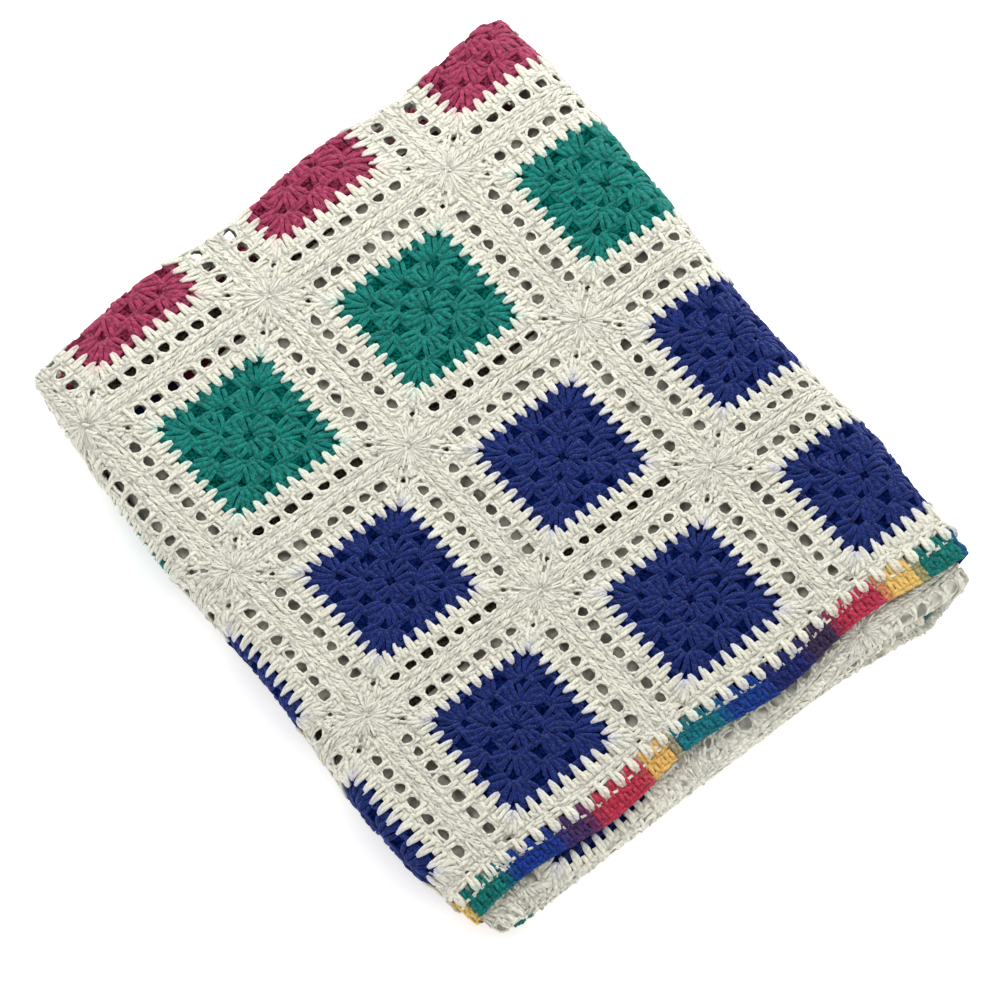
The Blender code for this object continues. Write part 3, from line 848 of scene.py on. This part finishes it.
    def seam_stitches(self, side):
        """Two sets of slanted stitches across the seam, the second between the first."""
        half_slant, slant_from, slant_to = SLANT
        for shift in (0.0, 0.5):
            at = evenly(SEAM_STITCHES, SEAM_STEP) + shift * SEAM_STEP
            start = turned(side_row(at - half_slant, slant_from), side)
            end = turned(side_row(at + half_slant, slant_to), side)
            self.work_white(straight_strand(start, end, SEAM_LIFT, FINE_YARN))

    def rays(self, side):
        """Strands that fan out from one corner, long and short in turn."""
        angles = np.radians(np.linspace(*RAY_ANGLES, RAYS))
        spoke = -np.stack([np.cos(angles), np.sin(angles)], axis=-1)
        corner = np.array([0.5, 0.5])
        reach = np.tile(RAY_ENDS, RAYS // 2)[:, None]
        near, far = (turned((corner + spoke * r) * SQUARE, side) for r in (RAY_START, reach))
        self.work_white(straight_strand(near, far, RAY_LIFT, RAY_YARN))


# ------------------------------------------------------------ what shows of it
def shown_places(flat):
    """Whether stitches at flat places (N, 2) are on a side of the cloth that shows.

    The top leaf, both turns and the bottom leaf show their outer cloth, and
    the slab's near and far turns show all along.  The rest lies inside.
    """
    u, v = flat[:, 0], flat[:, 1]
    x, _ = fold_columns(u, 0.5 * LAYER, np.zeros_like(u))
    far, near_start = far_centre(x), near_turn_start(x)
    outer = (v < far + TURN_ARC) & (u > LEFT_SHOWS)
    near_turn = (v > near_start - NEAR_SHOWS[0]) & (v < near_start + TURN_ARC + NEAR_SHOWS[1])
    far_turn = (v > far - FAR_SHOWS[0]) & (v < far + TURN_ARC + FAR_SHOWS[1])
    shown = outer | near_turn | far_turn | (v < RAW_SHOWS)
    inside = np.abs(u) < COLUMNS[-1] * SQUARE + STITCHES_END
    inside &= (v > ROWS[0] * SQUARE - STITCHES_END) & (v < ROWS[-1] * SQUARE + STITCHES_END)
    return shown & inside


def underside_places(flat):
    """Whether flat places (N, 2) are on the underside, on which the stack lies."""
    u, v = flat[:, 0], flat[:, 1]
    return (u > UNDER_U[0]) & (u < UNDER_U[1]) & (v > UNDER_V[0]) & (v < UNDER_V[1])


def column_yarn(column):
    """All the stitches that show of one column of squares."""
    yarn = Yarn()
    for row in ROWS:
        rng = np.random.default_rng(COLUMN_SEED + SEEDS_A_COLUMN * (column - COLUMNS[0]) + row)
        square = Square(yarn, column, row, rng)
        square.centre()
        square.white_rounds()
        square.seam_round()
    return yarn


# ----------------------------------------------------------------- the edging
def stripe_wool(distance):
    """The self-striping wool's colour at a distance along the edge."""
    at = np.mod(distance / SQUARE + STRIPE_START, STRIPE_REPEAT)
    places = [place for start, end, _ in STRIPES for place in (start, end)]
    wools = np.array([linear(wool) for *_, wool in STRIPES for _ in range(2)])
    places = np.array(places + [STRIPE_REPEAT + STRIPES[0][0]])
    wools = np.concatenate([wools, wools[:1]])
    return np.stack([np.interp(at, places, wools[:, channel]) for channel in range(3)], axis=-1)


def edge_run(start, along, outward, length, distance, yarn, rng):
    """Two rounds of single crochet along one straight edge of the cloth."""
    count = int(round(length / (EDGE_STEP * SQUARE)))
    step = length / count
    s = (np.arange(count) + 0.5) * step
    at = start + s[:, None] * along
    wool = np.tile(stripe_wool(distance + s), (2, 1))[:, None, :]
    for inner, outer in EDGE_ROUNDS:
        base, tip = (at + outward * reach * SQUARE for reach in (inner, outer))
        directions = np.tile(along, (count, 1))
        made = (post_strands(base, tip, EDGE_POST, EDGE_LIFTS),
                plait_strands(tip, directions, step, YARN, EDGE_V_LIFT))
        for lines, radii in made:
            lines = lines + rng.normal(0, EDGE_SHAKE, (len(lines), 1, 3))
            shown = edge_shows(lines[:, 1, :2])
            yarn.add(lines[shown], radii[shown], np.broadcast_to(wool, lines.shape)[shown])


def edge_shows(flat):
    """The edging shows along the near raw edge and the bottom leaf's free edge."""
    near_raw = flat[:, 1] < ROWS[0] * SQUARE
    free_edge = flat[:, 0] > COLUMNS[-1] * SQUARE
    return near_raw | free_edge


def edging_yarn():
    """The edging's stitches round all four edges, where they show."""
    yarn = Yarn()
    rng = np.random.default_rng(EDGING_SEED)
    width, length = len(COLUMNS) * SQUARE, len(ROWS) * SQUARE
    left, right = (COLUMNS[0] - 0.5) * SQUARE, (COLUMNS[-1] + 0.5) * SQUARE
    near, far = (ROWS[0] - 0.5) * SQUARE, (ROWS[-1] + 0.5) * SQUARE
    half = 0.5 * SQUARE
    x, y = np.array([1.0, 0.0]), np.array([0.0, 1.0])
    edge_run(np.array([left, near + half]), x, -y, width, left, yarn, rng)
    edge_run(np.array([right - half, near]), y, x, length, right, yarn, rng)
    edge_run(np.array([right, far - half]), -x, y, width, right + length, yarn, rng)
    edge_run(np.array([left + half, far]), -y, -x, length, right + length + width, yarn, rng)
    return yarn


# ------------------------------------------------------------- the ground cloth
def lattice_lines(numbers, fine, extra=()):
    """Grid lines along one direction, closely set where the cloth shows.

    In the fine stretch they lie on both sides of every filet space, and the
    rest has WIDE_LINES in a square.  Both edges of the edging have a line.
    """
    rim = (numbers[0] * SQUARE - RIM, numbers[-1] * SQUARE + RIM)
    inner = (rim[0] + EDGING_WIDTH, rim[1] - EDGING_WIDTH)
    holes = evenly(FILET_SPACES, FILET_STEP)[:, None] + (-FILET_HALF, FILET_HALF)
    edges = np.array([CENTRE_HALF, *CORNER_HOLE, *FILET_HOLE])
    close = np.sort(np.concatenate([holes.ravel(), -edges, edges, (0.5,)]))
    wide = (np.arange(WIDE_LINES) + 1) / WIDE_LINES - 0.5
    lines = [(numbers[0] - 0.5) * SQUARE, *rim, *inner, *extra]
    for number in numbers:
        is_fine = fine[0] <= number * SQUARE <= fine[1]
        lines += list((number + (close if is_fine else wide)) * SQUARE)
    lines = np.unique(np.round(lines, 6))
    lines = lines[np.concatenate([[True], np.diff(lines) > LEAST_CELL])]
    return lines[(lines >= rim[0]) & (lines <= rim[1])]


def grid_shell(u, v, mask, thickness):
    """Points and faces of a closed sheet over the cells of mask.

    Two skins lie half a thickness to each side of the cloth's middle, and a
    wall closes them wherever a cell has no neighbour in the mask.
    """
    flat = np.stack(np.meshgrid(u, v, indexing="ij"), axis=-1)
    half = np.full(flat.shape[:2] + (1,), thickness / 2)
    top = np.concatenate([flat, half], axis=-1)
    under = np.concatenate([flat, -half], axis=-1)
    points = np.concatenate([top.reshape(-1, 3), under.reshape(-1, 3)])
    count = len(u) * len(v)
    index = np.arange(count).reshape(len(u), len(v))
    a, b = index[:-1, :-1], index[1:, :-1]
    c, d = index[1:, 1:], index[:-1, 1:]
    padded = np.pad(mask, 1)
    faces = [np.stack([a, b, c, d], -1)[mask], np.stack([d, c, b, a], -1)[mask] + count]
    sides = (((1, 0), a, b), ((2, 1), b, c), ((1, 2), c, d), ((0, 1), d, a))
    for (i, j), first, second in sides:
        neighbour = padded[i:i + mask.shape[0], j:j + mask.shape[1]]
        bare = mask & ~neighbour
        f, s = first[bare], second[bare]
        faces.append(np.stack([s, f, f + count, s + count], -1))
    quads = np.concatenate(faces)
    used = np.unique(quads)
    lookup = np.zeros(2 * count, dtype=int)
    lookup[used] = np.arange(len(used))
    return points[used], lookup[quads]


def ground_cells():
    """Grid lines, the middles of the cells between them, and which are edging.

    Extra lines run round the slab's two turns.
    """
    middle = np.zeros(1)
    turns = [np.linspace(start[0] - TURN_MARGIN, start[0] + TURN_ARC + TURN_MARGIN, TURN_LINES)
             for start in (far_centre(middle), near_turn_start(middle))]
    u = lattice_lines(COLUMNS, FINE_U)
    v = lattice_lines(ROWS, FINE_V, np.concatenate(turns))
    mid_u, mid_v = np.meshgrid((u[1:] + u[:-1]) / 2, (v[1:] + v[:-1]) / 2, indexing="ij")
    band = np.abs(mid_u) > COLUMNS[-1] * SQUARE + RIM - EDGING_WIDTH
    band |= mid_v < ROWS[0] * SQUARE - RIM + EDGING_WIDTH
    band |= mid_v > ROWS[-1] * SQUARE + RIM - EDGING_WIDTH
    return u, v, mid_u, mid_v, band


def filet_spaces(u, v):
    """True where the middle of a cell lies in an open space of the filet."""
    p = np.abs(u / SQUARE - np.round(u / SQUARE))
    q = np.abs(v / SQUARE - np.round(v / SQUARE))
    row_end = (FILET_SPACES - 1) / 2 * FILET_STEP + FILET_HALF

    def in_row(across, along):
        nearest = np.round(along / FILET_STEP) * FILET_STEP
        in_space = (np.abs(along - nearest) < FILET_HALF) & (along < row_end)
        return (across > FILET_HOLE[0]) & (across < FILET_HOLE[1]) & in_space

    at_corner = (np.minimum(p, q) > CORNER_HOLE[0]) & (np.maximum(p, q) < CORNER_HOLE[1])
    return in_row(p, q) | in_row(q, p) | at_corner


def ground_sheet(material):
    """The thin cloth inside the stitches, open at the filet spaces."""
    u, v, mid_u, mid_v, band = ground_cells()
    opened = filet_spaces(mid_u, mid_v) & (mid_v < OPEN_END) & (np.abs(mid_u) < OPEN_END)
    points, quads = grid_shell(u, v, ~band & ~opened, GROUND)
    row = np.clip(np.round(points[:, 1] / SQUARE).astype(int), ROWS[0], ROWS[-1])
    wools = np.array([linear(wool) for wool in ROW_WOOLS])[row - ROWS[0]]
    # painted shade: the leaf that only shows through the spaces takes a dark warm tone, for the
    # shade down the spaces
    hidden = (points[:, 1] > INNER_V[0]) & (points[:, 1] < INNER_V[1])
    wools[hidden] = linear(SHADED)
    uv = points[quads][..., :2] / SQUARE
    return quad_mesh("ground_cloth", place(points), quads, uv, wools, material)


def edging_piece(material):
    """The edging's band and its stitches, as one piece."""
    u, v, _, _, band = ground_cells()
    points, quads = grid_shell(u, v, band, GROUND)
    at_side = np.abs(points[:, 0]) > COLUMNS[-1] * SQUARE + RIM - SIDE_BAND
    wools = stripe_wool(points[:, 0] + points[:, 1] * at_side)
    uv = points[quads][..., :2] / CENTIMETRE
    strands = edging_yarn().tubes()
    # painted shade: the band is darkened where it lies under the stitches
    joined = (np.concatenate([place(points), strands[0]]),
              np.concatenate([quads, strands[1] + len(points)]),
              np.concatenate([uv, strands[2]]),
              np.concatenate([wools * BAND_SHADE, strands[3]]))
    return quad_mesh("edging_stitches", *joined, material)


# ---------------------------------------------------------------- the finishes
class Finish:
    """A material made node by node.

    Each input is fed with a value or with what another node gives.
    """

    def __init__(self, name, surface):
        self.material = bpy.data.materials.new(name)
        self.material.use_nodes = True
        self.tree = self.material.node_tree
        self.surface = self.tree.nodes["Principled BSDF"]
        self.feed(self.surface, surface)

    def feed(self, node, inputs):
        """Set a node's inputs to values, or link them to other nodes."""
        for socket, value in inputs.items():
            if isinstance(value, bpy.types.NodeSocket):
                self.tree.links.new(value, node.inputs[socket])
            else:
                node.inputs[socket].default_value = value

    def node(self, kind, inputs, operation=None):
        """A node of one kind, fed with its inputs."""
        node = self.tree.nodes.new(f"ShaderNode{kind}")
        if operation:
            node.operation = operation
        self.feed(node, inputs)
        return node

    def maths(self, operation, *values, kind="Math"):
        """What a Math or VectorMath node makes of the values."""
        return self.node(kind, dict(enumerate(values)), operation).outputs[0]

    def scaled(self, colour, share):
        """A share of a colour."""
        return self.node("VectorMath", {0: colour, "Scale": share}, "SCALE").outputs[0]

    def mixed(self, share, first, second):
        """The first colour where share is 0, the second where it is 1."""
        node = self.tree.nodes.new("ShaderNodeMix")
        node.data_type = "RGBA"
        self.feed(node, {"Factor": share, "A": first, "B": second})
        return node.outputs["Result"]

    def carried(self, value, before, after):
        """A value carried evenly from one range to another, and kept inside it."""
        ends = {"From Min": before[0], "From Max": before[1],
                "To Min": after[0], "To Max": after[1]}
        return self.node("MapRange", {"Value": value, **ends}).outputs[0]

    def noise(self, scale, detail):
        """Noise from 0 to 1 in the mesh's own space."""
        at = self.node("TexCoord", {}).outputs["Object"]
        return self.node("TexNoise", {"Vector": at, "Scale": scale, "Detail": detail}).outputs["Fac"]

    def relief(self, height, strength, distance):
        """Stand the surface out, by the distance where height is 1."""
        made = {"Height": height, "Strength": strength, "Distance": distance}
        self.feed(self.surface, {"Normal": self.node("Bump", made).outputs["Normal"]})

    def wool(self):
        """The colour of the mesh's own points."""
        node = self.tree.nodes.new("ShaderNodeVertexColor")
        node.layer_name = "wool"
        return node.outputs["Color"]

    def flat_place(self):
        """The mesh's UV map."""
        node = self.tree.nodes.new("ShaderNodeUVMap")
        node.uv_map = "along_yarn"
        return node.outputs["UV"]

    def parts(self, vector):
        """The X and Y of a vector."""
        split = self.node("SeparateXYZ", {0: vector})
        return split.outputs["X"], split.outputs["Y"]


def yarn_material(name):
    """Plied wool: the strand's own colour, its plies and fuzz, with painted shade and highlights.

    The plies are a sine that climbs round the strand, and stand out together
    with fine noise.  Their height also shades the colour as painted shade.
    Coarser noise paints light and shade in patches over the yarn's relief, more
    so in a dark wool than in a pale one, and the fuzz's peaks are painted
    highlights, pale specks of light on the fibre ends.
    """
    finish = Finish(name, WOOL_SURFACE)
    wool = finish.wool()
    length, turn = finish.parts(finish.flat_place())
    climb = finish.maths("MULTIPLY_ADD", length, PLY_TURNS, turn)
    ply = finish.maths("SINE", finish.maths("MULTIPLY", climb, PLIES * 2 * math.pi))
    fuzz = finish.noise(scale=1400.0, detail=3.0)
    height = finish.maths("MULTIPLY_ADD", ply, PLY_DEPTH, fuzz)
    finish.relief(height, strength=0.5, distance=0.0004)
    # painted light and shade: the plies' height sets the colour between 84 and 106 percent
    shade = finish.carried(height, (-0.2, 1.2), (0.84, 1.06))
    # painted light and shade in patches, stronger in a dark wool
    tufts = finish.maths("SUBTRACT", finish.noise(scale=420.0, detail=1.0), 0.5)
    paleness = finish.node("RGBToBW", {0: wool}).outputs[0]
    strength = finish.carried(paleness, (0.15, 0.60), (1.40, 0.35))
    tone = finish.maths("MULTIPLY", shade, finish.maths("MULTIPLY_ADD", tufts, strength, 1.0))
    # painted highlights: pale specks where the fuzz peaks
    highlight_specks = finish.carried(fuzz, (0.50, 0.75), (0.00, 0.08))
    colour = finish.mixed(highlight_specks, finish.scaled(wool, tone), (*linear(FIBRE_HIGHLIGHT), 1.0))
    finish.feed(finish.surface, {"Base Color": colour})
    return finish.material


def ground_material(name):
    """Cloth seen between the stitches: coloured centres in a cream ground.

    The flat place in squares is on the UV map.  Within a centre's half side of
    the nearest square's middle the row's wool shows, with painted shade in dark
    gaps where fine noise is low.  Elsewhere it is cream, darkened all over by
    painted shade, more so in patches, as it lies in the stitches' shade.
    """
    finish = Finish(name, GROUND_SURFACE)
    half = (0.5, 0.5, 0.0)
    shifted = finish.maths("ADD", finish.flat_place(), half, kind="VectorMath")
    part = finish.maths("FRACTION", shifted, kind="VectorMath")
    middle = finish.maths("SUBTRACT", part, half, kind="VectorMath")
    away = finish.parts(finish.maths("ABSOLUTE", middle, kind="VectorMath"))
    in_centre = finish.maths("LESS_THAN", finish.maths("MAXIMUM", *away), GROUND_CENTRE)
    fuzz = finish.noise(scale=600.0, detail=3.0)
    finish.relief(fuzz, strength=0.8, distance=0.0010)
    # painted shade: the centre's wool keeps 8 to 62 percent of its colour, darkest in the gaps
    centre = finish.scaled(finish.wool(), finish.carried(fuzz, (0.38, 0.62), (0.08, 0.62)))
    # painted shade: the cream keeps 32 to 95 percent of its colour, darker in patches
    shade_blotches = finish.noise(scale=110.0, detail=1.0)
    depth = finish.carried(shade_blotches, (0.40, 0.62), (0.32, 0.95))
    cream = finish.scaled(tuple(linear(CREAM)), depth)
    finish.feed(finish.surface, {"Base Color": finish.mixed(in_centre, cream, centre)})
    return finish.material


def floor_material(name):
    """Matt and pale, with painted light: a faint glow that keeps it white in the stack's shade."""
    white = (1.0, 1.0, 1.0, 1.0)
    return Finish(name, {"Base Color": (*linear(FLOOR_TONE), 1.0), "Roughness": 0.9,
                         "Emission Color": white, "Emission Strength": FLOOR_GLOW}).material


# ------------------------------------------------------------------ the studio
def aim(thing, position, target):
    """Stand a light or camera at position, looking at target."""
    thing.location = Vector(position)
    thing.rotation_euler = (Vector(target) - Vector(position)).to_track_quat("-Z", "Y").to_euler()


def add_camera():
    """A long lens, at the photograph's angle and framing."""
    data = bpy.data.cameras.new("camera")
    data.sensor_width = 36.0
    data.lens = data.sensor_width * VIEW_DISTANCE / PICTURE_SPAN
    data.clip_end = 50.0
    camera = bpy.data.objects.new("camera", data)
    bpy.context.scene.collection.objects.link(camera)
    target = np.array(VIEW_CENTRE) + SHIFT
    back = np.array([math.sin(VIEW_AZIMUTH) * math.cos(VIEW_ELEVATION),
                     -math.cos(VIEW_AZIMUTH) * math.cos(VIEW_ELEVATION),
                     math.sin(VIEW_ELEVATION)])
    aim(camera, target + back * VIEW_DISTANCE, target)
    bpy.context.scene.camera = camera


def add_light(name, position, size, power):
    """A soft square light aimed at the stack."""
    data = bpy.data.lights.new(name, "AREA")
    data.size = size
    data.energy = power
    lamp = bpy.data.objects.new(name, data)
    bpy.context.scene.collection.objects.link(lamp)
    aim(lamp, np.array(position), np.zeros(3))


def add_studio():
    """A pale floor that glows faintly, a bright even surround and soft lights."""
    floor = bpy.data.meshes.new("floor")
    corners = [(x * FLOOR_HALF, y * FLOOR_HALF, 0.0)
               for x, y in ((-1, -1), (1, -1), (1, 1), (-1, 1))]
    floor.from_pydata(corners, [], [(0, 1, 2, 3)])
    floor.materials.append(floor_material("floor"))
    ground = bpy.data.objects.new("floor", floor)
    bpy.context.scene.collection.objects.link(ground)
    world = bpy.data.worlds.new("surround")
    world.use_nodes = True
    background = world.node_tree.nodes["Background"]
    background.inputs["Color"].default_value = (1.0, 1.0, 1.0, 1.0)
    background.inputs["Strength"].default_value = SURROUND
    bpy.context.scene.world = world
    for name, position, size, power in LIGHTS:
        add_light(name, position, size, power)
    bpy.context.scene.view_settings.view_transform = "Standard"


# --------------------------------------------------------------------- the part
def dress():
    """Every piece of the blanket, riding on its one body."""
    yarn = yarn_material("wool_yarn")
    for column in COLUMNS:
        piece = quad_mesh(f"squares_{column - COLUMNS[0] + 1}",
                          *column_yarn(column).tubes(), yarn)
        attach(piece, "root")
    edging = edging_piece(yarn)
    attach(edging, "root")
    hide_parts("edging")
    ground = ground_sheet(ground_material("wool_ground_painted_shade"))
    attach(ground, "root")
    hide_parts("blanket")


add_studio()
add_camera()
dress()
